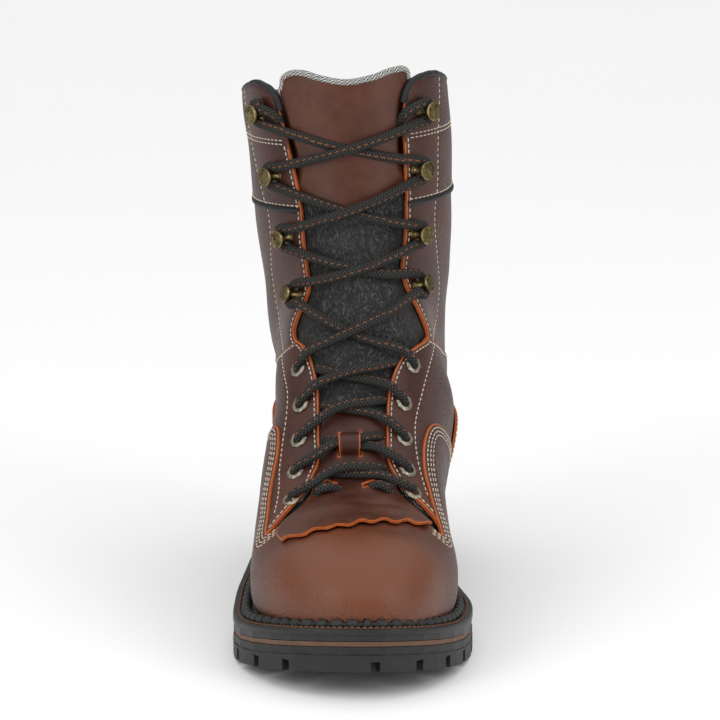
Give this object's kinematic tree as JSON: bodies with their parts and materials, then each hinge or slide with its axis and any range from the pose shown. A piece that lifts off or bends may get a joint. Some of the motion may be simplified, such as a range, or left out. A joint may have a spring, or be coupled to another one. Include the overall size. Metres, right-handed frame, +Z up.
{
  "type": "logger boot",
  "caption": "Tall laced work boot for the right foot, brown leather with kiltie, hooks and eyelets, welted lug sole and block heel.",
  "frame": {"origin": "centre of the bounding box at the floor", "axes": "+Z up, -Y toward the toe, +X toward the medial side"},
  "size_m": [0.1183, 0.305, 0.2731],
  "materials": {
    "rubber": "matt moulded black",
    "midsole_tan": "brown layer between the black plies",
    "insole_leather": "plain, matt",
    "upper_leather": "dark red-brown, oiled, faint grain",
    "overlay_leather": "dark red-brown with raw orange cut edges",
    "tongue_leather": "soft black leather with brown ends",
    "binding_leather": "black, rolled",
    "eyelet_metal": "old nickel",
    "hook_metal": "antique brass, worn bright on the rims",
    "lace_cord": "black braid with tan flecks"
  },
  "bodies": {
    "root": {"outsole": "rubber", "heel_block": "rubber", "heel_lift": "rubber", "midsole_black": "rubber", "welt": "rubber", "midsole_brown": "midsole_tan", "insole": "insole_leather", "upper": "upper_leather", "tongue": "tongue_leather", "counter": "overlay_leather", "kiltie": "overlay_leather", "lace_keeper": "overlay_leather", "piping": "binding_leather", "collar_binding": "binding_leather", "eyelet_lateral_1": "eyelet_metal", "eyelet_lateral_2": "eyelet_metal", "eyelet_lateral_3": "eyelet_metal", "eyelet_lateral_4": "eyelet_metal", "eyelet_lateral_5": "eyelet_metal", "hook_lateral_1": "hook_metal", "hook_lateral_2": "hook_metal", "hook_lateral_3": "hook_metal", "hook_lateral_4": "hook_metal", "lace_end_lateral": "lace_cord", "eyelet_medial_1": "eyelet_metal", "eyelet_medial_2": "eyelet_metal", "eyelet_medial_3": "eyelet_metal", "eyelet_medial_4": "eyelet_metal", "eyelet_medial_5": "eyelet_metal", "hook_medial_1": "hook_metal", "hook_medial_2": "hook_metal", "hook_medial_3": "hook_metal", "hook_medial_4": "hook_metal", "lace_end_medial": "lace_cord", "lace_cross_1": "lace_cord", "lace_cross_2": "lace_cord", "lace_cross_3": "lace_cord", "lace_cross_4": "lace_cord", "lace_cross_5": "lace_cord", "lace_cross_6": "lace_cord", "lace_cross_7": "lace_cord", "lace_cross_8": "lace_cord", "lace_bar": "lace_cord"}
  },
  "joints": []
}
